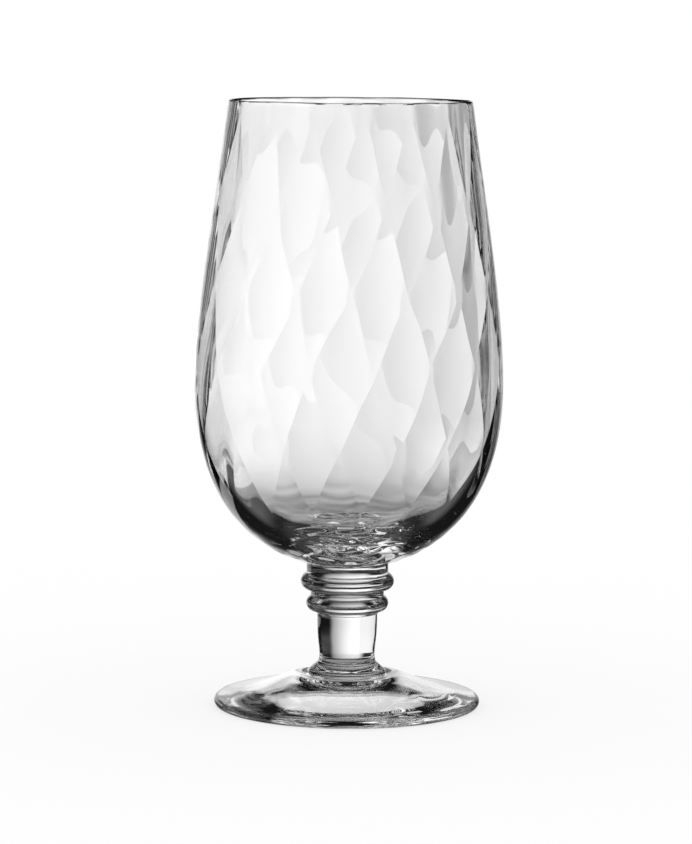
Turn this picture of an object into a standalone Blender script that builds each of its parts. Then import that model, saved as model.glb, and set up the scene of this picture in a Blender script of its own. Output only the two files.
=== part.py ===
"""Footed beverage glass: a blown bowl with a diamond optic, two ring knops, a short stem and a round foot.

Metres, +Z up. The origin is the middle of the foot's underside. Every piece is a separate gather of glass
with its own origin at the middle of its lower face, stacked on the piece below with a thin weld between.
"""
import math

import bmesh
import bpy
from mathutils import Matrix

MM = 0.001

# Weld between two gathers, and how far a seat reaches past the piece that stands on it
WELD_GAP = 0.3 * MM
SEAT_MARGIN = 0.3 * MM

# Foot: its top swells a little round the collar's seat, and its underside is hollowed up to a flat pontil
FOOT_RADIUS = 37.45 * MM
FOOT_EDGE = 2.85 * MM
FOOT_EDGE_SLOPE = math.radians(5.5)
FOOT_SEAT_HEIGHT = 8.5 * MM
FOOT_SWELL = 2.6 * MM
FOOT_RISE_OUTER = 0.64
FOOT_RISE_INNER = 0.22
HOLLOW_RADIUS = 30.0 * MM
HOLLOW_DEPTH = 4.5 * MM
HOLLOW_SLOPE = math.radians(3.0)
HOLLOW_RISE_OUTER = 0.4
HOLLOW_RISE_INNER = 0.2
PONTIL_RADIUS = 11.0 * MM

# Collar between foot and stem, flared down to a rolled edge
COLLAR_RADIUS = 11.05 * MM
COLLAR_HEIGHT = 3.8 * MM
COLLAR_ROLL = 0.7 * MM
COLLAR_ROLL_TOP = math.radians(30.0)

# Stem
STEM_TOP_RADIUS = 8.5 * MM
STEM_WAIST_RADIUS = 7.85 * MM
STEM_BASE_RADIUS = 8.05 * MM
STEM_WAIST_HEIGHT = 1.3 * MM
STEM_LENGTH = 13.1 * MM

# Lower ring knop, which overhangs the groove between the two rings
GROOVE_RADIUS = 10.3 * MM
LOWER_RING_OVERHANG = 1.3 * MM
LOWER_RING_BULGE = 2.3 * MM
LOWER_RING_LIP = 0.55 * MM
LOWER_RING_NECK = 0.57 * MM

# Upper ring knop and the neck that carries the bowl
UPPER_RING_OVERHANG = 2.85 * MM
UPPER_RING_BULGE = 2.45 * MM
UPPER_RING_NECK = 0.85 * MM
BOWL_NECK_INSET = 1.6 * MM
BOWL_NECK_HEIGHT = 2.6 * MM

# Bowl
BOWL_HEIGHT = 129.5 * MM
RIM_RADIUS = 34.05 * MM
RIM_WALL = 1.5 * MM
RIM_LEAN = 0.125
BELLY_RADIUS = 43.2 * MM
BELLY_HEIGHT = 50.0 * MM
BELLY_WALL = 1.75 * MM
BOWL_FLOOR = 7.0 * MM
HEEL_LAND = 0.1 * MM
HEEL_SLOPE = math.radians(15.0)
SIDE_FULLNESS = 0.28
UNDERSIDE_FULLNESS = 0.69
HEEL_FULLNESS = 0.42
CAVITY_FULLNESS = 0.62
CAVITY_FLOOR_FULLNESS = 0.66

# Diamond optic: pillows on the inside of the wall, in staggered rows that close up towards the floor.
# The rate and quickening are rows per metre and per square metre of wall, from the first row down.
OPTIC_COUNT = 16
OPTIC_DEPTH = 0.3 * MM
OPTIC_START = 2.3 * MM
OPTIC_RATE = 37.0
OPTIC_QUICKENING = 70.0
OPTIC_END_HEIGHT = 11.0 * MM
OPTIC_FADE = 12.0 * MM
OPTIC_STEPS = 6
OPTIC_TURN = math.radians(6.15)
OPTIC_LEAN = math.radians(2.4)

# Facets round the smaller turned pieces
SMALL_STEPS = 40
FOOT_STEPS = 52


def curve(start, leave, arrive, end, count):
    """Points of a cubic curve, without its start."""
    points = []
    for step in range(1, count + 1):
        t = step / count
        u = 1.0 - t
        weights = (u * u * u, 3 * u * u * t, 3 * u * t * t, t * t * t)
        controls = (start, leave, arrive, end)
        points.append(tuple(sum(w * c[k] for w, c in zip(weights, controls)) for k in (0, 1)))
    return points


def arc(centre, radius, first, last, count):
    """Points of an arc from one angle to another, both ends included."""
    points = []
    for step in range(count + 1):
        angle = first + (last - first) * step / count
        points.append((centre[0] + radius * math.cos(angle), centre[1] + radius * math.sin(angle)))
    return points


def clear_glass(name):
    material = bpy.data.materials.new(name)
    material.use_nodes = True
    shader = material.node_tree.nodes["Principled BSDF"]
    shader.inputs["Base Color"].default_value = (0.96, 0.97, 0.97, 1.0)
    shader.inputs["Roughness"].default_value = 0.02
    shader.inputs["Metallic"].default_value = 0.0
    shader.inputs["IOR"].default_value = 1.52
    shader.inputs["Transmission Weight"].default_value = 1.0
    return material


def turned_mesh(name, outline, steps):
    """Mesh of an outline, given as (radius, height) points, turned once about the Z axis."""
    mesh = bpy.data.meshes.new(name)
    edges = [(i, i + 1) for i in range(len(outline) - 1)]
    mesh.from_pydata([(r, 0.0, z) for r, z in outline], edges, [])
    blank = bpy.data.objects.new(name + "_outline", mesh)
    bpy.context.scene.collection.objects.link(blank)
    screw = blank.modifiers.new("turn", "SCREW")
    screw.axis = "Z"
    screw.angle = 2.0 * math.pi
    screw.screw_offset = 0.0
    screw.steps = steps
    screw.render_steps = steps
    screw.use_merge_vertices = True
    screw.merge_threshold = 0.00001
    screw.use_smooth_shade = True
    depsgraph = bpy.context.evaluated_depsgraph_get()
    turned = bpy.data.meshes.new_from_object(blank.evaluated_get(depsgraph))
    turned.name = name
    bpy.data.objects.remove(blank)
    bpy.data.meshes.remove(mesh)
    return turned


def place(name, mesh, height, collection, holder):
    """One gather of glass, standing at its height on the glass's axis."""
    mesh.materials.clear()
    mesh.materials.append(clear_glass(name + "_glass"))
    mesh.shade_smooth()
    mesh.set_sharp_from_angle(angle=math.radians(40.0))
    piece = bpy.data.objects.new(name, mesh)
    piece.location.z = height
    piece.parent = holder
    collection.objects.link(piece)
    return piece


def foot_outline():
    seat = COLLAR_RADIUS + SEAT_MARGIN
    edge = FOOT_EDGE / 2.0
    edge_middle = (FOOT_RADIUS - edge, edge)
    shoulder = arc(edge_middle, edge, math.pi / 2.0 - FOOT_EDGE_SLOPE, -math.pi / 2.0, 8)
    span = shoulder[0][0] - seat
    points = [(0.0, FOOT_SEAT_HEIGHT), (seat, FOOT_SEAT_HEIGHT)]
    points += curve(
        (seat, FOOT_SEAT_HEIGHT),
        (seat + FOOT_RISE_INNER * span, FOOT_SEAT_HEIGHT + FOOT_SWELL),
        (
            shoulder[0][0] - FOOT_RISE_OUTER * span * math.cos(FOOT_EDGE_SLOPE),
            shoulder[0][1] + FOOT_RISE_OUTER * span * math.sin(FOOT_EDGE_SLOPE),
        ),
        shoulder[0],
        14,
    )
    points += shoulder[1:]
    hollow = HOLLOW_RADIUS - PONTIL_RADIUS
    points.append((HOLLOW_RADIUS, 0.0))
    points += curve(
        (HOLLOW_RADIUS, 0.0),
        (
            HOLLOW_RADIUS - HOLLOW_RISE_OUTER * hollow * math.cos(HOLLOW_SLOPE),
            HOLLOW_RISE_OUTER * hollow * math.sin(HOLLOW_SLOPE),
        ),
        (PONTIL_RADIUS + HOLLOW_RISE_INNER * hollow, HOLLOW_DEPTH),
        (PONTIL_RADIUS, HOLLOW_DEPTH),
        8,
    )
    points.append((0.0, HOLLOW_DEPTH))
    return points


def collar_outline():
    roll = arc(
        (COLLAR_RADIUS - COLLAR_ROLL, COLLAR_ROLL),
        COLLAR_ROLL,
        COLLAR_ROLL_TOP,
        -math.pi / 2.0,
        6,
    )
    drop = COLLAR_HEIGHT - roll[0][1]
    points = [(0.0, COLLAR_HEIGHT), (STEM_BASE_RADIUS, COLLAR_HEIGHT)]
    points += curve(
        (STEM_BASE_RADIUS, COLLAR_HEIGHT),
        (STEM_BASE_RADIUS, COLLAR_HEIGHT - 0.1 * drop),
        (
            roll[0][0] - 0.45 * drop * math.sin(COLLAR_ROLL_TOP),
            roll[0][1] + 0.45 * drop * math.cos(COLLAR_ROLL_TOP),
        ),
        roll[0],
        7,
    )
    points += roll[1:]
    points.append((0.0, 0.0))
    return points


def stem_outline():
    drop = STEM_LENGTH - STEM_WAIST_HEIGHT
    points = [(0.0, STEM_LENGTH), (STEM_TOP_RADIUS, STEM_LENGTH)]
    points += curve(
        (STEM_TOP_RADIUS, STEM_LENGTH),
        (STEM_TOP_RADIUS, STEM_LENGTH - 0.6 * drop),
        (STEM_WAIST_RADIUS, STEM_WAIST_HEIGHT + 0.25 * drop),
        (STEM_WAIST_RADIUS, STEM_WAIST_HEIGHT),
        8,
    )
    points += [(STEM_BASE_RADIUS, 0.0), (0.0, 0.0)]
    return points


def lower_ring_outline():
    middle = (GROOVE_RADIUS + LOWER_RING_OVERHANG - LOWER_RING_BULGE, LOWER_RING_LIP + LOWER_RING_BULGE)
    first = math.acos((GROOVE_RADIUS - middle[0]) / LOWER_RING_BULGE)
    bulge = arc(middle, LOWER_RING_BULGE, first, -math.pi / 2.0, 12)
    height = bulge[0][1] + LOWER_RING_NECK
    points = [(0.0, height), (GROOVE_RADIUS, height)] + bulge
    points += [(STEM_TOP_RADIUS + SEAT_MARGIN, 0.0), (0.0, 0.0)]
    return points


def bowl_neck_radius():
    return GROOVE_RADIUS + UPPER_RING_OVERHANG - BOWL_NECK_INSET


def upper_ring_outline():
    inset = GROOVE_RADIUS + UPPER_RING_OVERHANG - UPPER_RING_BULGE
    last = -math.acos((GROOVE_RADIUS - inset) / UPPER_RING_BULGE)
    middle = (inset, UPPER_RING_NECK - UPPER_RING_BULGE * math.sin(last))
    first = math.acos((bowl_neck_radius() - inset) / UPPER_RING_BULGE)
    bulge = arc(middle, UPPER_RING_BULGE, first, last, 12)
    height = bulge[0][1] + BOWL_NECK_HEIGHT
    points = [(0.0, height), (bowl_neck_radius(), height)] + bulge
    points += [(GROOVE_RADIUS, 0.0), (0.0, 0.0)]
    return points


def along(points, start):
    """Each point's distance from the start, measured along the line."""
    distances = []
    total = 0.0
    previous = start
    for point in points:
        total += math.dist(previous, point)
        distances.append(total)
        previous = point
    return distances


def at_distances(points, distances, wanted):
    """Points at the wanted distances along a finely drawn line."""
    found = []
    index = 1
    for distance in wanted:
        while index < len(points) - 1 and distances[index] < distance:
            index += 1
        share = (distance - distances[index - 1]) / (distances[index] - distances[index - 1])
        low, high = points[index - 1], points[index]
        found.append(tuple(low[k] + share * (high[k] - low[k]) for k in (0, 1)))
    return found


def optic_rows(distance):
    """How many rows of diamonds lie above a place, by its distance along the wall from the rim."""
    return OPTIC_RATE * (distance - OPTIC_START) + OPTIC_QUICKENING * (distance ** 2 - OPTIC_START ** 2)


def optic_distance(rows):
    """The distance along the wall at which that many rows of diamonds lie above."""
    start = OPTIC_RATE * OPTIC_START + OPTIC_QUICKENING * OPTIC_START ** 2
    root = math.sqrt(OPTIC_RATE ** 2 + 4.0 * OPTIC_QUICKENING * (start + rows))
    return (root - OPTIC_RATE) / (2.0 * OPTIC_QUICKENING)


def cavity_line():
    """The bowl's inside from rim to floor, with the distance along it of every point.

    Lines through the diamonds are a fixed share of a row apart, so the grooves run through them.
    """
    lip = RIM_WALL / 2.0
    rim = (RIM_RADIUS - RIM_WALL, BOWL_HEIGHT - lip)
    belly = (BELLY_RADIUS - BELLY_WALL, BELLY_HEIGHT)
    rise = BOWL_HEIGHT - BELLY_HEIGHT
    drop = BELLY_HEIGHT - BOWL_FLOOR
    side = curve(
        rim,
        (rim[0] + RIM_LEAN * SIDE_FULLNESS * rise, rim[1] - SIDE_FULLNESS * rise),
        (belly[0], belly[1] + SIDE_FULLNESS * rise),
        belly,
        160,
    )
    base = curve(
        belly,
        (belly[0], belly[1] - CAVITY_FULLNESS * drop),
        (CAVITY_FLOOR_FULLNESS * belly[0], BOWL_FLOOR),
        (0.0, BOWL_FLOOR),
        160,
    )
    fine = [rim] + side + base
    distances = along(fine, rim)
    wanted = [0.0]
    base_rows = 6
    optic_end = distances[-1] - 0.5 * belly[0]
    while optic_distance(2.0 * (len(wanted) - 1) / OPTIC_STEPS) < optic_end:
        wanted.append(optic_distance(2.0 * (len(wanted) - 1) / OPTIC_STEPS))
    left = distances[-1] - wanted[-1]
    wanted += [wanted[-1] + left * (row + 1) / base_rows for row in range(base_rows)]
    points = at_distances(fine, distances, wanted[:-1]) + [(0.0, BOWL_FLOOR)]
    return points, wanted


def bowl_outer_line():
    """The bowl's outside from just below the rim to the middle of its underside."""
    lip = RIM_WALL / 2.0
    rim = (RIM_RADIUS, BOWL_HEIGHT - lip)
    belly = (BELLY_RADIUS, BELLY_HEIGHT)
    heel = (bowl_neck_radius() + SEAT_MARGIN, HEEL_LAND)
    rise = BOWL_HEIGHT - BELLY_HEIGHT
    drop = BELLY_HEIGHT - HEEL_LAND
    reach = HEEL_FULLNESS * (BELLY_RADIUS - heel[0])
    points = [rim]
    points += curve(
        rim,
        (rim[0] + RIM_LEAN * SIDE_FULLNESS * rise, rim[1] - SIDE_FULLNESS * rise),
        (belly[0], belly[1] + SIDE_FULLNESS * rise),
        belly,
        8,
    )
    points += curve(
        belly,
        (belly[0], belly[1] - UNDERSIDE_FULLNESS * drop),
        (heel[0] + reach * math.cos(HEEL_SLOPE), heel[1] + reach * math.sin(HEEL_SLOPE)),
        heel,
        11,
    )
    points += [(heel[0], 0.0), (0.0, 0.0)]
    return points


def pillow(turns, distance):
    """Share of the optic's depth at a place: nothing in the grooves, all of it in the middle of a diamond."""
    climb = optic_rows(distance) / 2.0
    left = (turns + climb) % 1.0
    right = (turns - climb) % 1.0
    return 16.0 * left * (1.0 - left) * right * (1.0 - right)


def fade(value):
    value = min(max(value, 0.0), 1.0)
    return value * value * (3.0 - 2.0 * value)


def bowl_mesh():
    cavity, distances = cavity_line()
    lip = RIM_WALL / 2.0
    rim_arc = arc((RIM_RADIUS - lip, BOWL_HEIGHT - lip), lip, math.pi, 0.0, 4)
    outline = cavity[:0:-1] + rim_arc + bowl_outer_line()[1:]
    steps = OPTIC_COUNT * OPTIC_STEPS
    mesh = turned_mesh("bowl", outline, steps)

    rows = {}
    for row, (point, distance) in enumerate(zip(cavity, distances)):
        rows[(round(point[0], 6), round(point[1], 6))] = (row, distance)
    work = bmesh.new()
    work.from_mesh(mesh)
    places = {}
    for vertex in work.verts:
        radius = math.hypot(vertex.co.x, vertex.co.y)
        found = rows.get((round(radius, 6), round(vertex.co.z, 6)))
        if found is None or radius < 1e-6:
            continue
        angle = math.atan2(vertex.co.y, vertex.co.x)
        column = round(angle / (2.0 * math.pi) * steps) % steps
        places[vertex] = (column, found[0])
        share = pillow(column / OPTIC_STEPS, found[1])
        share *= fade((vertex.co.z - OPTIC_END_HEIGHT) / OPTIC_FADE)
        lean = OPTIC_LEAN * max(optic_rows(found[1]), 0.0)
        vertex.co.x = (radius - share * OPTIC_DEPTH) * math.cos(angle - lean)
        vertex.co.y = (radius - share * OPTIC_DEPTH) * math.sin(angle - lean)

    first_row = 1
    for face in list(work.faces):
        corners = [(vertex, places.get(vertex)) for vertex in face.verts]
        if len(corners) != 4 or any(found is None for _, found in corners):
            continue
        column = min(found[0] for _, found in corners)
        if max(found[0] for _, found in corners) - column > 1:
            column = steps - 1
        row = min(found[1] for _, found in corners) - first_row
        corner = {}
        for vertex, found in corners:
            corner[((found[0] - column) % steps, found[1] - first_row - row)] = vertex
        if (column + row + 1) % OPTIC_STEPS == 0:
            bmesh.utils.face_split(face, corner[(1, 0)], corner[(0, 1)])
        else:
            bmesh.utils.face_split(face, corner[(0, 0)], corner[(1, 1)])
    bmesh.ops.rotate(work, verts=work.verts, matrix=Matrix.Rotation(OPTIC_TURN - math.pi / 2.0, 3, "Z"))
    work.to_mesh(mesh)
    work.free()
    return mesh


def main():
    for leftover in list(bpy.data.objects):
        bpy.data.objects.remove(leftover)
    collection = bpy.data.collections.new("footed_beverage_glass")
    bpy.context.scene.collection.children.link(collection)
    holder = bpy.data.objects.new("glass_axis", None)
    collection.objects.link(holder)

    height = 0.0
    turned = (
        ("foot", foot_outline(), FOOT_STEPS),
        ("base_collar", collar_outline(), SMALL_STEPS),
        ("stem", stem_outline(), SMALL_STEPS),
        ("lower_ring", lower_ring_outline(), SMALL_STEPS),
        ("upper_ring", upper_ring_outline(), SMALL_STEPS),
    )
    for name, outline, steps in turned:
        place(name, turned_mesh(name, outline, steps), height, collection, holder)
        height += outline[0][1] + WELD_GAP
    place("bowl", bowl_mesh(), height, collection, holder)
    bpy.context.view_layer.update()


main()
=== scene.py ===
"""Looks of the footed beverage glass: clear blown glass with a diamond optic, on a white table."""
import math

import bmesh
import bpy
import numpy as np
from mathutils import Matrix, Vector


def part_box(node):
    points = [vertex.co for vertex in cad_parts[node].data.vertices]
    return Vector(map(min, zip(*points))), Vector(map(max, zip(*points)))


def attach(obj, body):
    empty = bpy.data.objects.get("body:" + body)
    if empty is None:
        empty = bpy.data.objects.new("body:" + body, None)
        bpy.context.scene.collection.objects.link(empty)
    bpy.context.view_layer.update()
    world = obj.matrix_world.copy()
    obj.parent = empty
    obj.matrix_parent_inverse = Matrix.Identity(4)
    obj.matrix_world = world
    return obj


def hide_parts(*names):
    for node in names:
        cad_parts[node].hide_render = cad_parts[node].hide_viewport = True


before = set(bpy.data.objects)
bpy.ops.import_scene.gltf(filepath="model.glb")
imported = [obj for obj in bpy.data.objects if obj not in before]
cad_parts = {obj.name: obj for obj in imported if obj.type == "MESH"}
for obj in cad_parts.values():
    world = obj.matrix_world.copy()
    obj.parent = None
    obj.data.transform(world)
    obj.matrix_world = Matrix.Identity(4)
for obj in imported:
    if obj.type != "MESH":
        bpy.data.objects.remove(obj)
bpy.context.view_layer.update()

MM = 0.001

# The camera, read from the ellipses of the rim and the foot
CAMERA_PLACE = (-0.0007, -1.0306, 0.1963)
CAMERA_PITCH = math.radians(6.431)
CAMERA_ROLL = math.radians(0.4)
CAMERA_LENS = 158.07

# The studio round the glass: a soft pool of light on the backdrop between two dark side cloths, a low white
# card behind on the left and bright boards at both sides, in degrees across and up from straight behind
TENT_RADIUS = 0.8
TENT_HEIGHT = 0.05
POOL_ACROSS = -11.0
POOL_UP = -1.0
POOL_WIDTH = 30.0
POOL_HEIGHT = 26.0
POOL_LEVEL = 1.23
POOL_BOTTOM = (-42.0, -34.0)
POOL_TOP = (11.0, 16.0)
LEFT_CLOTH = (-32.0, -17.0)
RIGHT_CLOTH = (18.0, 28.0)
CARD_TURN = math.radians(39.0)
CARD_AWAY = 0.12
CARD_WIDTH = 0.09
CARD_HEIGHT = 0.024
CARD_LEVEL = 1.0
BOARD_NEAR = (48.0, 64.0)
BOARD_FAR = (115.0, 135.0)
BOARD_BOTTOM = (-55.0, -42.0)
BOARD_TOP = (-21.0, -13.0)
BOARD_LEVEL = 1.1
# Below the glass the tent glows dim: painted shade that stands for the table in the glass's own shadow
FLOOR_EDGE = (-62.0, -50.0)
PAINTED_FLOOR_SHADE = 0.3
CEILING_EDGE = (38.0, 60.0)
CEILING_LEVEL = 0.08
DARK_LEVEL = 0.008

# Half the table's width, and how much of its top's white is matt paint, which keeps the shadow
TABLE_REACH = 3.0
TABLE_MATT = 0.28

# How often light may pass or turn in the glass
LIGHT_BOUNCES = 40

# The weld between two gathers in the CAD, and half of the hairline left between them where they are fused
WELD_GAP = 0.3 * MM
WELD_SLOT = 0.01 * MM

# How far a seat reaches past what is welded to it
SEAT_MARGIN = 0.3 * MM

# How far apart the points of an outline are on flat faces and on short necks
FLAT_STEP = 1.2 * MM
NECK_STEP = 0.3 * MM

# How many columns of faces go round the foot and round the pieces of the stem, the steps over the brim, and
# the angle from which an edge shows as a crease
FOOT_COLUMNS = 200
STEM_COLUMNS = 160
BRIM_STEPS = 12
CREASE_ANGLE = math.radians(35.0)
MERGE_DISTANCE = 0.002 * MM
NEARLY_NONE = 0.001 * MM

# Ripples left by hot working: how deep, how wide, and how much longer they are upwards
WORKED_RIPPLE = (0.09 * MM, 6.0 * MM, 1.0)
FOOT_RIPPLE = (0.05 * MM, 9.0 * MM, 1.0)
BOWL_RIPPLE = (0.05 * MM, 14.0 * MM, 2.0)

# The glass itself, with the cords and the faint haze in it
GLASS_INDEX = 1.52
GLASS_DEEP = (0.985, 0.988, 0.986, 1.0)
GLASS_CLEAR = (0.995, 0.997, 0.995, 1.0)
CORD_SIZE = 6.0 * MM
CORD_HEIGHT = 0.004 * MM
HAZE_SCALE = 90.0
HAZE_ROUGHNESS = 0.006

# Foot
FOOT_RADIUS = 37.45 * MM
FOOT_EDGE = 2.85 * MM
FOOT_RISE_OUTER = 0.64
FOOT_RISE_INNER = 0.22
FOOT_SWELL = 2.6 * MM
FOOT_EDGE_SLOPE = math.radians(5.5)
HOLLOW_RADIUS = 30.0 * MM
HOLLOW_DEPTH = 4.5 * MM
HOLLOW_RISE_OUTER = 0.4
HOLLOW_RISE_INNER = 0.2
HOLLOW_SLOPE = math.radians(3.0)
PONTIL_RADIUS = 11.0 * MM

# Collar and stem
COLLAR_RADIUS = 11.05 * MM
COLLAR_ROLL = 0.7 * MM
COLLAR_ROLL_TOP = math.radians(30.0)
COLLAR_RISE_TOP = 0.1
COLLAR_RISE_ROLL = 0.45
COLLAR_RIPPLE = 0.25
STEM_TOP_RADIUS = 8.5 * MM
STEM_WAIST_RADIUS = 7.85 * MM
STEM_BASE_RADIUS = 8.05 * MM
STEM_WAIST_HEIGHT = 1.3 * MM
STEM_RISE_TOP = 0.6
STEM_RISE_WAIST = 0.25

# Ring knops
GROOVE_RADIUS = 10.3 * MM
LOWER_RING_RADIUS = 11.6 * MM
LOWER_RING_BULGE = 2.3 * MM
LOWER_RING_LIP = 0.55 * MM
UPPER_RING_RADIUS = 13.15 * MM
UPPER_RING_BULGE = 2.45 * MM
UPPER_RING_NECK = 0.85 * MM
BOWL_NECK_RADIUS = 11.55 * MM

# Bowl
RIM_RADIUS = 34.05 * MM
RIM_WALL = 1.5 * MM
RIM_LEAN = 0.125
BELLY_RADIUS = 43.2 * MM
BELLY_HEIGHT = 50.0 * MM
BELLY_WALL = 1.75 * MM
BOWL_FLOOR = 7.0 * MM
HEEL_LAND = 0.1 * MM
HEEL_SLOPE = math.radians(15.0)
SIDE_FULLNESS = 0.28
UNDERSIDE_FULLNESS = 0.69
HEEL_FULLNESS = 0.42
CAVITY_FULLNESS = 0.62
CAVITY_FLOOR_FULLNESS = 0.66

# The crinkled skin round the bowl's heel, inside and out, and the uneven brim
CRINKLE_RADIUS = 34.0 * MM
CRINKLE_FADE = 8.0 * MM
CRINKLE_SIZE = 5.5 * MM
CRINKLE_HEIGHT = 0.2 * MM
CRINKLE_ROUND = 3.0
CRINKLE_INSIDE = 0.6
CRINKLE_BRIM = 0.8

# Diamond optic: its lattice, where it dies out above the floor, and how it wanders below the calm rim
OPTIC_COUNT = 16
OPTIC_ROWS = 12
OPTIC_DEPTH = 0.3 * MM
OPTIC_FIRST = 2.3 * MM
OPTIC_RATE = 37.0
OPTIC_QUICKENING = 70.0
OPTIC_LEAN = math.radians(2.4)
OPTIC_TURN = math.radians(6.15)
OPTIC_PLAIN = 16.0 * MM
OPTIC_END = 10.0 * MM
OPTIC_FADE = 19.0 * MM
OPTIC_CALM = 14.0 * MM
OPTIC_DRIFT = 24.0
OPTIC_WANDER = 0.3
WANDER_ROUND = 1.6
WANDER_DOWN = 0.55


class Wire:
    """A node's output. Arithmetic with numbers and other wires adds Math nodes to its tree."""

    def __init__(self, bench, socket):
        self.bench = bench
        self.socket = socket

    def other(self, name):
        return Wire(self.bench, self.socket.node.outputs[name])

    def math(self, operation, *values):
        return self.bench.node("ShaderNodeMath", {"operation": operation}, dict(enumerate((self, *values))))

    def __add__(self, value):
        return self.math("ADD", value)

    def __mul__(self, value):
        return self.math("MULTIPLY", value)

    def __sub__(self, value):
        return self.math("SUBTRACT", value)

    def __truediv__(self, value):
        return self.math("DIVIDE", value)

    def __rsub__(self, value):
        return self.bench.node("ShaderNodeMath", {"operation": "SUBTRACT"}, {0: value, 1: self})

    def __rtruediv__(self, value):
        return self.bench.node("ShaderNodeMath", {"operation": "DIVIDE"}, {0: value, 1: self})

    __radd__ = __add__
    __rmul__ = __mul__

    def fraction(self):
        return self.math("FRACT")

    def clamped(self, low, high):
        """0 at low, 1 at high, easing in and out between them."""
        settings = {"interpolation_type": "SMOOTHSTEP"}
        sockets = {"Value": self, "From Min": low, "From Max": high}
        return self.bench.node("ShaderNodeMapRange", settings, sockets)


class Bench:
    """Where one node tree is put together."""

    def __init__(self, tree):
        self.tree = tree

    def node(self, kind, settings=None, sockets=None, out=0):
        made = self.tree.nodes.new(kind)
        for name, value in (settings or {}).items():
            setattr(made, name, value)
        for name, value in (sockets or {}).items():
            if isinstance(value, Wire):
                self.tree.links.new(value.socket, made.inputs[name])
            else:
                made.inputs[name].default_value = value
        return Wire(self, made.outputs[out]) if len(made.outputs) else made


def grey(level):
    return (level, level, level, 1.0)


def put(name, data):
    """A new object in the scene."""
    made = bpy.data.objects.new(name, data)
    bpy.context.scene.collection.objects.link(made)
    return made


def bare_material(name):
    """A new material with an empty tree, and the bench to fill it."""
    material = bpy.data.materials.new(name)
    material.use_nodes = True
    material.node_tree.nodes.clear()
    return material, Bench(material.node_tree)


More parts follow.
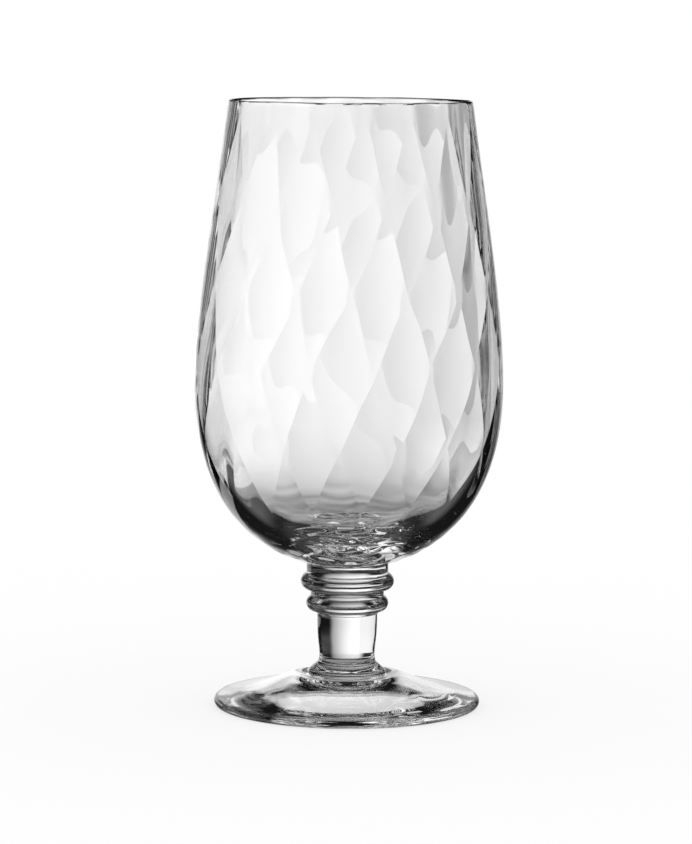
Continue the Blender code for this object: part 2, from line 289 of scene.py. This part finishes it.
def gather_tree():
    """Geometry Nodes that turn an outline into one gather of glass.

    The outline's points carry how deep the optic is pressed there, which row of diamonds they lie in, how far
    the diamonds may drift, how much of the ripple and the crinkle they take, and whether they lie in a weld.
    """
    tree = bpy.data.node_groups.new("turned gather of glass", "GeometryNodeTree")
    tree.interface.new_socket("Outline", in_out="INPUT", socket_type="NodeSocketGeometry")
    for name, kind in (
        ("Columns", "NodeSocketInt"),
        ("Diamonds round", "NodeSocketInt"),
        ("Optic depth", "NodeSocketFloat"),
        ("Optic turn", "NodeSocketFloat"),
        ("Optic lean", "NodeSocketFloat"),
        ("Optic wander", "NodeSocketFloat"),
        ("Ripple height", "NodeSocketFloat"),
        ("Ripple size", "NodeSocketFloat"),
        ("Ripple stretch", "NodeSocketFloat"),
        ("Crinkle height", "NodeSocketFloat"),
        ("Crinkle size", "NodeSocketFloat"),
        ("Seed", "NodeSocketInt"),
        ("Glass", "NodeSocketMaterial"),
        ("Weld", "NodeSocketMaterial"),
    ):
        tree.interface.new_socket(name, in_out="INPUT", socket_type=kind)
    tree.interface.new_socket("Gather", in_out="OUTPUT", socket_type="NodeSocketGeometry")

    bench = Bench(tree)
    given = bench.node("NodeGroupInput")
    outline = given.other("Outline")
    columns = given.other("Columns")

    def carried(name):
        return bench.node("GeometryNodeInputNamedAttribute", {"data_type": "FLOAT"}, {"Name": name})

    points = bench.node("GeometryNodeAttributeDomainSize", {"component": "MESH"}, {"Geometry": outline})
    grid = bench.node("GeometryNodeMeshGrid", None, {"Vertices X": points, "Vertices Y": columns + 1})
    index = bench.node("GeometryNodeInputIndex")
    row = (index / (columns + 1)).math("FLOOR")
    column = index - row * (columns + 1)

    def sampled(value, place, kind="FLOAT"):
        settings = {"data_type": kind, "domain": "POINT", "clamp": True}
        sockets = {"Geometry": outline, "Value": value, "Index": place}
        return bench.node("GeometryNodeSampleIndex", settings, sockets)

    lattice = column / columns * given.other("Diamonds round")
    around = lattice / given.other("Diamonds round") * (2.0 * math.pi)
    rows_down = sampled(carried("row"), row)
    wander_spot = bench.node("ShaderNodeCombineXYZ", None, {
        "X": around.math("SINE") * WANDER_ROUND,
        "Y": around.math("COSINE") * WANDER_ROUND,
        "Z": rows_down * WANDER_DOWN,
    })

    def wander(shift):
        settings = {"noise_dimensions": "4D"}
        sockets = {"Vector": wander_spot, "W": given.other("Seed") + shift, "Scale": 1.0, "Detail": 1.0}
        return (bench.node("ShaderNodeTexNoise", settings, sockets) - 0.5) * given.other("Optic wander")

    # The diamonds wander along the wall, and the points of the wall go with them
    drifted = row + wander(9.0) * sampled(carried("drift"), row)
    spot = bench.node("GeometryNodeInputPosition")
    first = drifted.math("FLOOR")
    above = bench.node("ShaderNodeSeparateXYZ", None, {0: sampled(spot, first, "FLOAT_VECTOR")})
    below = bench.node("ShaderNodeSeparateXYZ", None, {0: sampled(spot, first + 1.0, "FLOAT_VECTOR")})
    share = drifted.fraction()
    radius = above.other("X") + (below.other("X") - above.other("X")) * share
    height = above.other("Z") + (below.other("Z") - above.other("Z")) * share

    left = (lattice + rows_down / 2.0).fraction()
    right = (lattice - rows_down / 2.0).fraction()
    pillow = 16.0 * left * (1.0 - left) * right * (1.0 - right)
    pressed = sampled(carried("optic"), row)
    radius = radius - pillow * pressed * given.other("Optic depth")
    angle = around - wander(0.0) / given.other("Diamonds round") * (2.0 * math.pi)
    angle = angle + given.other("Optic turn") - given.other("Optic lean") * rows_down
    turned = bench.node("ShaderNodeCombineXYZ", None, {
        "X": radius * angle.math("SINE"),
        "Y": 0.0 - radius * angle.math("COSINE"),
        "Z": height,
    })

    def groove(share_across):
        """1 at points on a groove between diamonds."""
        edge = share_across * (1.0 - share_across)
        return edge.math("LESS_THAN", 0.005) * pressed.math("GREATER_THAN", 0.02)

    shape = grid
    for name, value in (
        ("ripple", sampled(carried("ripple"), row)),
        ("crinkle", sampled(carried("crinkle"), row)),
        ("weld", sampled(carried("weld"), row)),
        ("left groove", groove(left)),
        ("right groove", groove(right)),
    ):
        shape = bench.node(
            "GeometryNodeStoreNamedAttribute",
            {"data_type": "FLOAT", "domain": "POINT"},
            {"Geometry": shape, "Name": name, "Value": value},
        )
    shape = bench.node("GeometryNodeSetPosition", None, {"Geometry": shape, "Position": turned})
    shape = bench.node("GeometryNodeMergeByDistance", None, {"Geometry": shape, "Distance": MERGE_DISTANCE})

    # Faces that a groove crosses are split along it
    for name, method in (("left groove", "FIXED"), ("right groove", "FIXED_ALTERNATE")):
        shape = bench.node("GeometryNodeTriangulate", {"quad_method": method}, {
            "Mesh": shape,
            "Selection": carried(name).math("GREATER_THAN", 0.4),
        })

    # The ripple only takes glass away, so no piece grows past its size
    here = bench.node("ShaderNodeSeparateXYZ", None, {0: bench.node("GeometryNodeInputPosition")})
    spot = bench.node("ShaderNodeCombineXYZ", None, {
        "X": here.other("X") / given.other("Ripple size"),
        "Y": here.other("Y") / given.other("Ripple size"),
        "Z": here.other("Z") / (given.other("Ripple size") * given.other("Ripple stretch")),
    })
    waves = bench.node(
        "ShaderNodeTexNoise",
        {"noise_dimensions": "4D"},
        {"Vector": spot, "W": given.other("Seed"), "Scale": 1.0, "Detail": 1.5, "Roughness": 0.45},
    )
    reach = waves.clamped(0.2, 0.8) * given.other("Ripple height") * carried("ripple")

    # Crinkles run round the gather, where its skin chilled against the block
    squared = here.other("X") * here.other("X") + here.other("Y") * here.other("Y")
    from_axis = squared.math("SQRT") + NEARLY_NONE
    spot = bench.node("ShaderNodeCombineXYZ", None, {
        "X": here.other("X") / from_axis * CRINKLE_ROUND,
        "Y": here.other("Y") / from_axis * CRINKLE_ROUND,
        "Z": (from_axis + here.other("Z")) / given.other("Crinkle size"),
    })
    folds = bench.node(
        "ShaderNodeTexNoise",
        {"noise_dimensions": "4D"},
        {"Vector": spot, "W": given.other("Seed") + 3.0, "Scale": 1.0, "Detail": 0.0},
    )
    reach = 0.0 - reach - folds.clamped(0.2, 0.8) * given.other("Crinkle height") * carried("crinkle")
    outwards = bench.node("GeometryNodeInputNormal")
    offset = bench.node("ShaderNodeVectorMath", {"operation": "SCALE"}, {0: outwards, "Scale": reach})
    shape = bench.node("GeometryNodeSetPosition", None, {"Geometry": shape, "Offset": offset})

    shape = bench.node(
        "GeometryNodeSetShadeSmooth",
        {"domain": "FACE"},
        {"Geometry": shape, "Shade Smooth": True},
    )
    steep = bench.node("GeometryNodeInputMeshEdgeAngle").math("GREATER_THAN", CREASE_ANGLE)
    for name in ("left groove", "right groove"):
        steep = steep.math("MAXIMUM", carried(name).math("GREATER_THAN", 0.9))
    shape = bench.node(
        "GeometryNodeSetShadeSmooth",
        {"domain": "EDGE"},
        {"Geometry": shape, "Selection": steep, "Shade Smooth": False},
    )
    shape = bench.node("GeometryNodeRealizeInstances", None, {"Geometry": shape})
    shape = bench.node("GeometryNodeSetMaterial", None, {"Geometry": shape, "Material": given.other("Glass")})
    welded = carried("weld").math("GREATER_THAN", 0.9)
    shape = bench.node(
        "GeometryNodeSetMaterial",
        None,
        {"Geometry": shape, "Selection": welded, "Material": given.other("Weld")},
    )
    bench.node("NodeGroupOutput", None, {"Gather": shape})
    return tree


def curve(start, leave, arrive, end, count):
    """Points of a cubic curve, both ends included."""
    t = np.linspace(0.0, 1.0, count + 1)[:, None]
    u = 1.0 - t
    corners = [np.array(p) for p in (start, leave, arrive, end)]
    return u ** 3 * corners[0] + 3 * u * u * t * corners[1] + 3 * u * t * t * corners[2] + t ** 3 * corners[3]


def arc(centre, radius, first, last, count):
    """Points of an arc, both ends included."""
    angles = np.linspace(first, last, count + 1)
    return np.stack([centre[0] + radius * np.cos(angles), centre[1] + radius * np.sin(angles)], -1)


def straight(start, end, step):
    """Points of a straight line about one step apart, both ends included."""
    count = max(1, round(math.dist(start, end) / step))
    return np.linspace(np.array(start), np.array(end), count + 1)


class Outline:
    """A piece's outline from its top middle round to its bottom middle, with what its points carry."""

    def __init__(self):
        self.points = []

    def add(self, points, ripple=1.0, weld=0.0, optic=None, row=None, drift=None, crinkle=None):
        for place, point in enumerate(points):
            self.points.append((
                float(point[0]),
                float(point[1]),
                ripple,
                weld,
                0.0 if optic is None else float(optic[place]),
                0.0 if row is None else float(row[place]),
                0.0 if drift is None else float(drift[place]),
                0.0 if crinkle is None else float(crinkle[place]),
            ))

    def mesh(self, name):
        kept = [self.points[0]]
        for point in self.points[1:]:
            if math.dist(point[:2], kept[-1][:2]) > 1e-7 or point[3] != kept[-1][3]:
                kept.append(point)
        made = bpy.data.meshes.new(name + "_outline")
        edges = [(i, i + 1) for i in range(len(kept) - 1)]
        made.from_pydata([(p[0], 0.0, p[1]) for p in kept], edges, [])
        for column, carried in enumerate(("ripple", "weld", "optic", "row", "drift", "crinkle"), 2):
            layer = made.attributes.new(carried, "FLOAT", "POINT")
            layer.data.foreach_set("value", [p[column] for p in kept])
        return made


def weld_disc(outline, radius, height, outward):
    """The flat fused face of a gather, read from its middle outwards or back to it."""
    disc = straight((0.0, height), (radius, height), FLAT_STEP)
    outline.add(disc if outward else disc[::-1], ripple=0.0, weld=1.0)


def node_span(node):
    low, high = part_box(node)
    return low.z, high.z


def foot_outline():
    rest = node_span("base_collar")[0] - WELD_GAP
    lifted = rest + WELD_GAP / 2.0 - WELD_SLOT
    edge = FOOT_EDGE / 2.0
    shoulder = arc((FOOT_RADIUS - edge, edge), edge, math.pi / 2.0 - FOOT_EDGE_SLOPE, -math.pi / 2.0, 28)
    weld = COLLAR_RADIUS - COLLAR_ROLL
    seat = COLLAR_RADIUS + SEAT_MARGIN
    span = shoulder[0][0] - seat
    made = Outline()
    weld_disc(made, weld, lifted, True)
    made.add([(weld, lifted), (weld, rest), (seat, rest)], ripple=0.0)
    made.add(curve(
        (seat, rest),
        (seat + FOOT_RISE_INNER * span, rest + FOOT_SWELL),
        (
            shoulder[0][0] - FOOT_RISE_OUTER * span * math.cos(FOOT_EDGE_SLOPE),
            shoulder[0][1] + FOOT_RISE_OUTER * span * math.sin(FOOT_EDGE_SLOPE),
        ),
        shoulder[0],
        44,
    )[1:])
    made.add(shoulder[1:-1])
    made.add(straight(shoulder[-1], (HOLLOW_RADIUS, 0.0), FLAT_STEP))
    hollow = HOLLOW_RADIUS - PONTIL_RADIUS
    made.add(curve(
        (HOLLOW_RADIUS, 0.0),
        (
            HOLLOW_RADIUS - HOLLOW_RISE_OUTER * hollow * math.cos(HOLLOW_SLOPE),
            HOLLOW_RISE_OUTER * hollow * math.sin(HOLLOW_SLOPE),
        ),
        (PONTIL_RADIUS + HOLLOW_RISE_INNER * hollow, HOLLOW_DEPTH),
        (PONTIL_RADIUS, HOLLOW_DEPTH),
        36,
    )[1:])
    made.add(straight((PONTIL_RADIUS, HOLLOW_DEPTH), (0.0, HOLLOW_DEPTH), FLAT_STEP)[1:])
    return made


def collar_outline():
    bottom, top = node_span("base_collar")
    lifted = (top + node_span("stem")[0]) / 2.0 - WELD_SLOT
    lowered = bottom - WELD_GAP / 2.0 + WELD_SLOT
    weld = COLLAR_RADIUS - COLLAR_ROLL
    roll = arc((weld, bottom + COLLAR_ROLL), COLLAR_ROLL, COLLAR_ROLL_TOP, -math.pi / 2.0, 18)
    drop = top - roll[0][1]
    made = Outline()
    weld_disc(made, STEM_BASE_RADIUS, lifted, True)
    made.add([(STEM_BASE_RADIUS, lifted)], ripple=0.0)
    made.add(curve(
        (STEM_BASE_RADIUS, top),
        (STEM_BASE_RADIUS, top - COLLAR_RISE_TOP * drop),
        roll[0] + COLLAR_RISE_ROLL * drop * np.array((-math.sin(COLLAR_ROLL_TOP), math.cos(COLLAR_ROLL_TOP))),
        roll[0],
        24,
    ), ripple=COLLAR_RIPPLE)
    made.add(roll[1:], ripple=COLLAR_RIPPLE)
    made.add([(weld, lowered)], ripple=0.0)
    weld_disc(made, weld, lowered, False)
    return made


def stem_outline():
    bottom, top = node_span("stem")
    lifted = (top + node_span("lower_ring")[0]) / 2.0 - WELD_SLOT
    lowered = (bottom + node_span("base_collar")[1]) / 2.0 + WELD_SLOT
    waist = bottom + STEM_WAIST_HEIGHT
    drop = top - waist
    made = Outline()
    weld_disc(made, STEM_TOP_RADIUS, lifted, True)
    made.add([(STEM_TOP_RADIUS, lifted)], ripple=0.0)
    made.add(curve(
        (STEM_TOP_RADIUS, top),
        (STEM_TOP_RADIUS, top - STEM_RISE_TOP * drop),
        (STEM_WAIST_RADIUS, waist + STEM_RISE_WAIST * drop),
        (STEM_WAIST_RADIUS, waist),
        26,
    ))
    made.add(straight((STEM_WAIST_RADIUS, waist), (STEM_BASE_RADIUS, bottom), NECK_STEP)[1:])
    made.add([(STEM_BASE_RADIUS, lowered)], ripple=0.0)
    weld_disc(made, STEM_BASE_RADIUS, lowered, False)
    return made


def lower_ring_outline():
    bottom, top = node_span("lower_ring")
    lifted = (top + node_span("upper_ring")[0]) / 2.0 - WELD_SLOT
    lowered = (bottom + node_span("stem")[1]) / 2.0 + WELD_SLOT
    middle = (LOWER_RING_RADIUS - LOWER_RING_BULGE, bottom + LOWER_RING_LIP + LOWER_RING_BULGE)
    first = math.acos((GROOVE_RADIUS - middle[0]) / LOWER_RING_BULGE)
    made = Outline()
    weld_disc(made, GROOVE_RADIUS, lifted, True)
    made.add([(GROOVE_RADIUS, lifted)], ripple=0.0)
    made.add(arc(middle, LOWER_RING_BULGE, first, -math.pi / 2.0, 44))
    made.add([(STEM_TOP_RADIUS + SEAT_MARGIN, bottom)])
    made.add([(STEM_TOP_RADIUS, bottom), (STEM_TOP_RADIUS, lowered)], ripple=0.0)
    weld_disc(made, STEM_TOP_RADIUS, lowered, False)
    return made


def upper_ring_outline():
    bottom, top = node_span("upper_ring")
    lifted = (top + node_span("bowl")[0]) / 2.0 - WELD_SLOT
    lowered = (bottom + node_span("lower_ring")[1]) / 2.0 + WELD_SLOT
    inset = UPPER_RING_RADIUS - UPPER_RING_BULGE
    last = -math.acos((GROOVE_RADIUS - inset) / UPPER_RING_BULGE)
    middle = (inset, bottom + UPPER_RING_NECK - UPPER_RING_BULGE * math.sin(last))
    first = math.acos((BOWL_NECK_RADIUS - inset) / UPPER_RING_BULGE)
    bulge = arc(middle, UPPER_RING_BULGE, first, last, 48)
    made = Outline()
    weld_disc(made, BOWL_NECK_RADIUS, lifted, True)
    made.add([(BOWL_NECK_RADIUS, lifted)], ripple=0.0)
    made.add(straight((BOWL_NECK_RADIUS, top), bulge[0], NECK_STEP)[:-1])
    made.add(bulge)
    made.add([(GROOVE_RADIUS, bottom), (GROOVE_RADIUS, lowered)], ripple=0.0)
    weld_disc(made, GROOVE_RADIUS, lowered, False)
    return made


def rows_down(distance):
    """How many rows of diamonds lie above a place, by its distance along the wall from the rim."""
    return OPTIC_RATE * (distance - OPTIC_FIRST) + OPTIC_QUICKENING * (distance ** 2 - OPTIC_FIRST ** 2)


def bowl_outline():
    bottom, top = node_span("bowl")
    lowered = (bottom + node_span("upper_ring")[1]) / 2.0 + WELD_SLOT
    lip = RIM_WALL / 2.0
    belly_height = bottom + BELLY_HEIGHT
    floor = bottom + BOWL_FLOOR
    rise = top - belly_height

    def side(rim_radius, belly_radius, count):
        return curve(
            (rim_radius, top - lip),
            (rim_radius + RIM_LEAN * SIDE_FULLNESS * rise, top - lip - SIDE_FULLNESS * rise),
            (belly_radius, belly_height + SIDE_FULLNESS * rise),
            (belly_radius, belly_height),
            count,
        )

    # Inside, from the rim to the floor, with OPTIC_ROWS rows of points to a row of diamonds
    inner_belly = BELLY_RADIUS - BELLY_WALL
    fine = np.concatenate([
        side(RIM_RADIUS - RIM_WALL, inner_belly, 1500),
        curve(
            (inner_belly, belly_height),
            (inner_belly, belly_height - CAVITY_FULLNESS * (belly_height - floor)),
            (CAVITY_FLOOR_FULLNESS * inner_belly, floor),
            (0.0, floor),
            1500,
        )[1:],
    ])
    along = np.concatenate([[0.0], np.cumsum(np.hypot(*np.diff(fine, axis=0).T))])
    rows = rows_down(along)
    last = rows_down(along[-1] - OPTIC_PLAIN)
    wanted = np.arange(math.ceil(rows[0] * OPTIC_ROWS), math.floor(last * OPTIC_ROWS) + 1) / OPTIC_ROWS
    distances = np.interp(wanted, rows, along)
    distances = np.concatenate([[0.0, 0.7 * MM], distances[distances > 1.0 * MM]])
    distances = np.concatenate([distances, np.linspace(distances[-1], along[-1], 18)[1:]])
    inside = np.stack([np.interp(distances, along, fine[:, k]) for k in (0, 1)], -1)
    inside[-1] = (0.0, floor)

    def eased(value):
        value = np.clip(value, 0.0, 1.0)
        return value * value * (3.0 - 2.0 * value)

    optic = eased((inside[:, 1] - bottom - OPTIC_END) / OPTIC_FADE)
    made = Outline()
    made.add(
        inside[::-1],
        optic=optic[::-1],
        row=rows_down(distances)[::-1],
        drift=OPTIC_DRIFT * optic[::-1] * eased(distances[::-1] / OPTIC_CALM),
        crinkle=CRINKLE_INSIDE * eased((CRINKLE_RADIUS - inside[::-1, 0]) / CRINKLE_FADE),
    )
    made.add(
        arc((RIM_RADIUS - lip, top - lip), lip, math.pi, 0.0, BRIM_STEPS)[1:],
        optic=eased(np.linspace(1.0, -1.0, BRIM_STEPS + 1)[1:]),
        row=np.full(BRIM_STEPS, rows_down(0.0)),
        crinkle=np.full(BRIM_STEPS, CRINKLE_BRIM),
    )
    made.add(side(RIM_RADIUS, BELLY_RADIUS, 44)[1:])
    heel = (BOWL_NECK_RADIUS + SEAT_MARGIN, bottom + HEEL_LAND)
    reach = HEEL_FULLNESS * (BELLY_RADIUS - heel[0])
    drop = BELLY_HEIGHT - HEEL_LAND
    underside = curve(
        (BELLY_RADIUS, belly_height),
        (BELLY_RADIUS, belly_height - UNDERSIDE_FULLNESS * drop),
        (heel[0] + reach * math.cos(HEEL_SLOPE), heel[1] + reach * math.sin(HEEL_SLOPE)),
        heel,
        78,
    )[1:]
    made.add(underside, crinkle=eased((CRINKLE_RADIUS - underside[:, 0]) / CRINKLE_FADE))
    made.add([(heel[0], bottom)])
    made.add([(BOWL_NECK_RADIUS, bottom), (BOWL_NECK_RADIUS, lowered)], ripple=0.0)
    weld_disc(made, BOWL_NECK_RADIUS, lowered, False)
    return made


def clear_glass(name):
    """Clear blown glass, fire-polished, with the faint cords of hot working."""
    material, bench = bare_material(name)
    place = bench.node("ShaderNodeTexCoord", out="Object")
    drawn = bench.node("ShaderNodeMapping", None, {"Vector": place, "Scale": (1.0, 1.0, 0.4)})
    cords = bench.node("ShaderNodeTexNoise", None, {"Vector": drawn, "Scale": 1.0 / CORD_SIZE, "Detail": 2.0})
    haze = bench.node("ShaderNodeTexNoise", None, {"Vector": place, "Scale": HAZE_SCALE, "Detail": 3.0})
    tint = bench.node(
        "ShaderNodeMix",
        {"data_type": "RGBA"},
        {"Factor": haze, 6: GLASS_DEEP, 7: GLASS_CLEAR},
        out=2,
    )
    bump = bench.node("ShaderNodeBump", None, {"Strength": 1.0, "Distance": CORD_HEIGHT, "Height": cords})
    shader = bench.node("ShaderNodeBsdfPrincipled", None, {
        "Base Color": tint,
        "Roughness": haze.clamped(0.45, 0.8) * HAZE_ROUGHNESS,
        "IOR": GLASS_INDEX,
        "Transmission Weight": 1.0,
        "Normal": bump,
    })
    bench.node("ShaderNodeOutputMaterial", None, {"Surface": shader})
    return material


def fused_weld():
    """Where two gathers are fused the glass runs on, so the face between them can't be seen."""
    material = bpy.data.materials.new("fused_weld")
    material.use_nodes = True
    shader = material.node_tree.nodes["Principled BSDF"]
    shader.inputs["Base Color"].default_value = grey(1.0)
    shader.inputs["Roughness"].default_value = 0.0
    shader.inputs["Alpha"].default_value = 0.0
    return material


def make_gather(tree, node, outline, columns, weld, ripple, seed, optic_depth=0.0):
    """One gather of glass, finished as a plain mesh that stands for its CAD node."""
    name = node + "_gather"
    blank = put(name + "_blank", outline.mesh(name))
    turn = blank.modifiers.new("turned gather", "NODES")
    turn.node_group = tree
    sizes = {
        "Columns": columns,
        "Diamonds round": OPTIC_COUNT,
        "Optic depth": optic_depth,
        "Optic turn": OPTIC_TURN,
        "Optic lean": OPTIC_LEAN,
        "Optic wander": OPTIC_WANDER,
        "Ripple height": ripple[0],
        "Ripple size": ripple[1],
        "Ripple stretch": ripple[2],
        "Crinkle height": CRINKLE_HEIGHT,
        "Crinkle size": CRINKLE_SIZE,
        "Seed": seed,
        "Glass": clear_glass(node + "_glass"),
        "Weld": weld,
    }
    for socket in tree.interface.items_tree:
        if socket.in_out == "INPUT" and socket.name in sizes:
            turn[socket.identifier] = sizes[socket.name]
    depsgraph = bpy.context.evaluated_depsgraph_get()
    mesh = bpy.data.meshes.new_from_object(blank.evaluated_get(depsgraph))
    mesh.name = name
    bpy.data.objects.remove(blank)
    for carried in ("ripple", "crinkle", "weld", "left groove", "right groove"):
        mesh.attributes.remove(mesh.attributes[carried])
    piece = put(name, mesh)
    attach(piece, "root")
    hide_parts(node)


def make_glass():
    tree = gather_tree()
    weld = fused_weld()
    make_gather(tree, "foot", foot_outline(), FOOT_COLUMNS, weld, FOOT_RIPPLE, 4)
    make_gather(tree, "base_collar", collar_outline(), STEM_COLUMNS, weld, WORKED_RIPPLE, 5)
    make_gather(tree, "stem", stem_outline(), STEM_COLUMNS, weld, WORKED_RIPPLE, 7)
    make_gather(tree, "lower_ring", lower_ring_outline(), STEM_COLUMNS, weld, WORKED_RIPPLE, 11)
    make_gather(tree, "upper_ring", upper_ring_outline(), STEM_COLUMNS, weld, WORKED_RIPPLE, 13)
    bowl_columns = 2 * OPTIC_ROWS * OPTIC_COUNT
    make_gather(tree, "bowl", bowl_outline(), bowl_columns, weld, BOWL_RIPPLE, 17, OPTIC_DEPTH)


def make_camera():
    data = bpy.data.cameras.new("camera")
    data.lens = CAMERA_LENS
    data.sensor_width = 36.0
    data.clip_start = 0.05
    data.clip_end = 50.0
    camera = put("camera", data)
    turn = Matrix.Rotation(math.pi / 2.0 - CAMERA_PITCH, 4, "X") @ Matrix.Rotation(CAMERA_ROLL, 4, "Z")
    camera.matrix_world = Matrix.Translation(CAMERA_PLACE) @ turn
    bpy.context.scene.camera = camera
    return camera


def make_table():
    """A white table top that keeps the glass's soft shadow. In the glass the tent shows in its place."""
    mesh = bpy.data.meshes.new("table_top")
    corners = [(x * TABLE_REACH, y * TABLE_REACH, 0.0) for x, y in ((-1, -1), (1, -1), (1, 1), (-1, 1))]
    mesh.from_pydata(corners, [], [(0, 1, 2, 3)])
    table = put("table_top", mesh)
    table.visible_glossy = False
    table.visible_transmission = False
    material, bench = bare_material("white_table")
    rays = bench.node("ShaderNodeLightPath")
    matt = bench.node("ShaderNodeBsdfDiffuse", None, {"Color": grey(TABLE_MATT)})
    lift = rays.other("Is Camera Ray") * (1.0 - TABLE_MATT)
    lift = bench.node("ShaderNodeEmission", None, {"Color": grey(1.0), "Strength": lift})
    seen = bench.node("ShaderNodeAddShader", None, {0: matt, 1: lift})
    bench.node("ShaderNodeOutputMaterial", None, {"Surface": seen})
    mesh.materials.append(material)


def make_world():
    world = bpy.data.worlds.new("white_room")
    world.use_nodes = True
    white = world.node_tree.nodes["Background"]
    white.inputs["Color"].default_value = grey(1.0)
    white.inputs["Strength"].default_value = 1.0
    bpy.context.scene.world = world


def hang(thing, camera, place):
    """Studio gear that goes round with the camera and shows only in the glass."""
    thing.parent = camera
    thing.matrix_parent_inverse = camera.matrix_world.inverted()
    thing.matrix_basis = place
    thing.visible_camera = False
    thing.visible_diffuse = False
    thing.visible_shadow = False


def make_card(camera):
    """A low white card that stands behind the foot on the left and lights the stem."""
    half = CARD_WIDTH / 2.0
    ends = [(-half, CARD_AWAY), (half, CARD_AWAY)]
    mesh = bpy.data.meshes.new("white_card")
    corners = [(*end, 0.0) for end in ends] + [(*end, CARD_HEIGHT) for end in ends]
    mesh.from_pydata(corners, [], [(0, 1, 3, 2)])
    material, bench = bare_material("white_card")
    glow = bench.node("ShaderNodeEmission", None, {"Color": grey(1.0), "Strength": CARD_LEVEL})
    bench.node("ShaderNodeOutputMaterial", None, {"Surface": glow})
    mesh.materials.append(material)
    card = put("white_card", mesh)
    hang(card, camera, Matrix.Rotation(CARD_TURN, 4, "Z"))


def make_tent(camera):
    """The studio tent that the glass shows: bright behind it, dark at its sides and overhead, and dim below
    it, where painted shade stands for the glass's shadow on the table.
    """
    bm = bmesh.new()
    bmesh.ops.create_uvsphere(bm, u_segments=64, v_segments=32, radius=TENT_RADIUS)
    bmesh.ops.reverse_faces(bm, faces=bm.faces)
    mesh = bpy.data.meshes.new("studio_tent")
    bm.to_mesh(mesh)
    bm.free()
    for face in mesh.polygons:
        face.use_smooth = True
    tent = put("studio_tent", mesh)
    hang(tent, camera, Matrix.Translation((0.0, 0.0, TENT_HEIGHT)))
    material, bench = bare_material("tent_cloth")
    place = bench.node("ShaderNodeSeparateXYZ", None, {0: bench.node("ShaderNodeTexCoord", out="Object")})
    across = place.other("X").math("ARCTAN2", place.other("Y")) / math.pi * 180.0
    up = (place.other("Z") / TENT_RADIUS).math("ARCSINE") / math.pi * 180.0

    def panel(angle, start, end, bottom, top):
        """1 inside one panel of the tent, with soft edges."""
        inside = angle.clamped(*start) * (1.0 - angle.clamped(*end))
        return inside * up.clamped(*bottom) * (1.0 - up.clamped(*top))

    pool_across = (across - POOL_ACROSS) / POOL_WIDTH
    pool_up = (up - POOL_UP) / POOL_HEIGHT
    pool = (0.0 - (pool_across * pool_across + pool_up * pool_up)).math("EXPONENT") * POOL_LEVEL
    pool = pool * panel(across, LEFT_CLOTH, RIGHT_CLOTH, POOL_BOTTOM, POOL_TOP)
    aside = across.math("ABSOLUTE")
    boards = panel(aside, BOARD_NEAR, BOARD_FAR, BOARD_BOTTOM, BOARD_TOP) * BOARD_LEVEL
    # The tent's floor glows dim: painted shade for the table in the glass's shadow
    floor = (1.0 - up.clamped(*FLOOR_EDGE)) * PAINTED_FLOOR_SHADE
    cloth = pool + boards + floor + up.clamped(*CEILING_EDGE) * CEILING_LEVEL + DARK_LEVEL
    glow = bench.node("ShaderNodeEmission", None, {"Color": cloth, "Strength": 1.0})
    bench.node("ShaderNodeOutputMaterial", None, {"Surface": glow})
    mesh.materials.append(material)


def main():
    scene = bpy.context.scene
    scene.view_settings.view_transform = "Standard"
    scene.cycles.max_bounces = LIGHT_BOUNCES
    scene.cycles.transmission_bounces = LIGHT_BOUNCES
    scene.cycles.glossy_bounces = LIGHT_BOUNCES
    scene.cycles.transparent_max_bounces = LIGHT_BOUNCES
    camera = make_camera()
    make_world()
    make_table()
    make_tent(camera)
    make_card(camera)
    make_glass()


main()
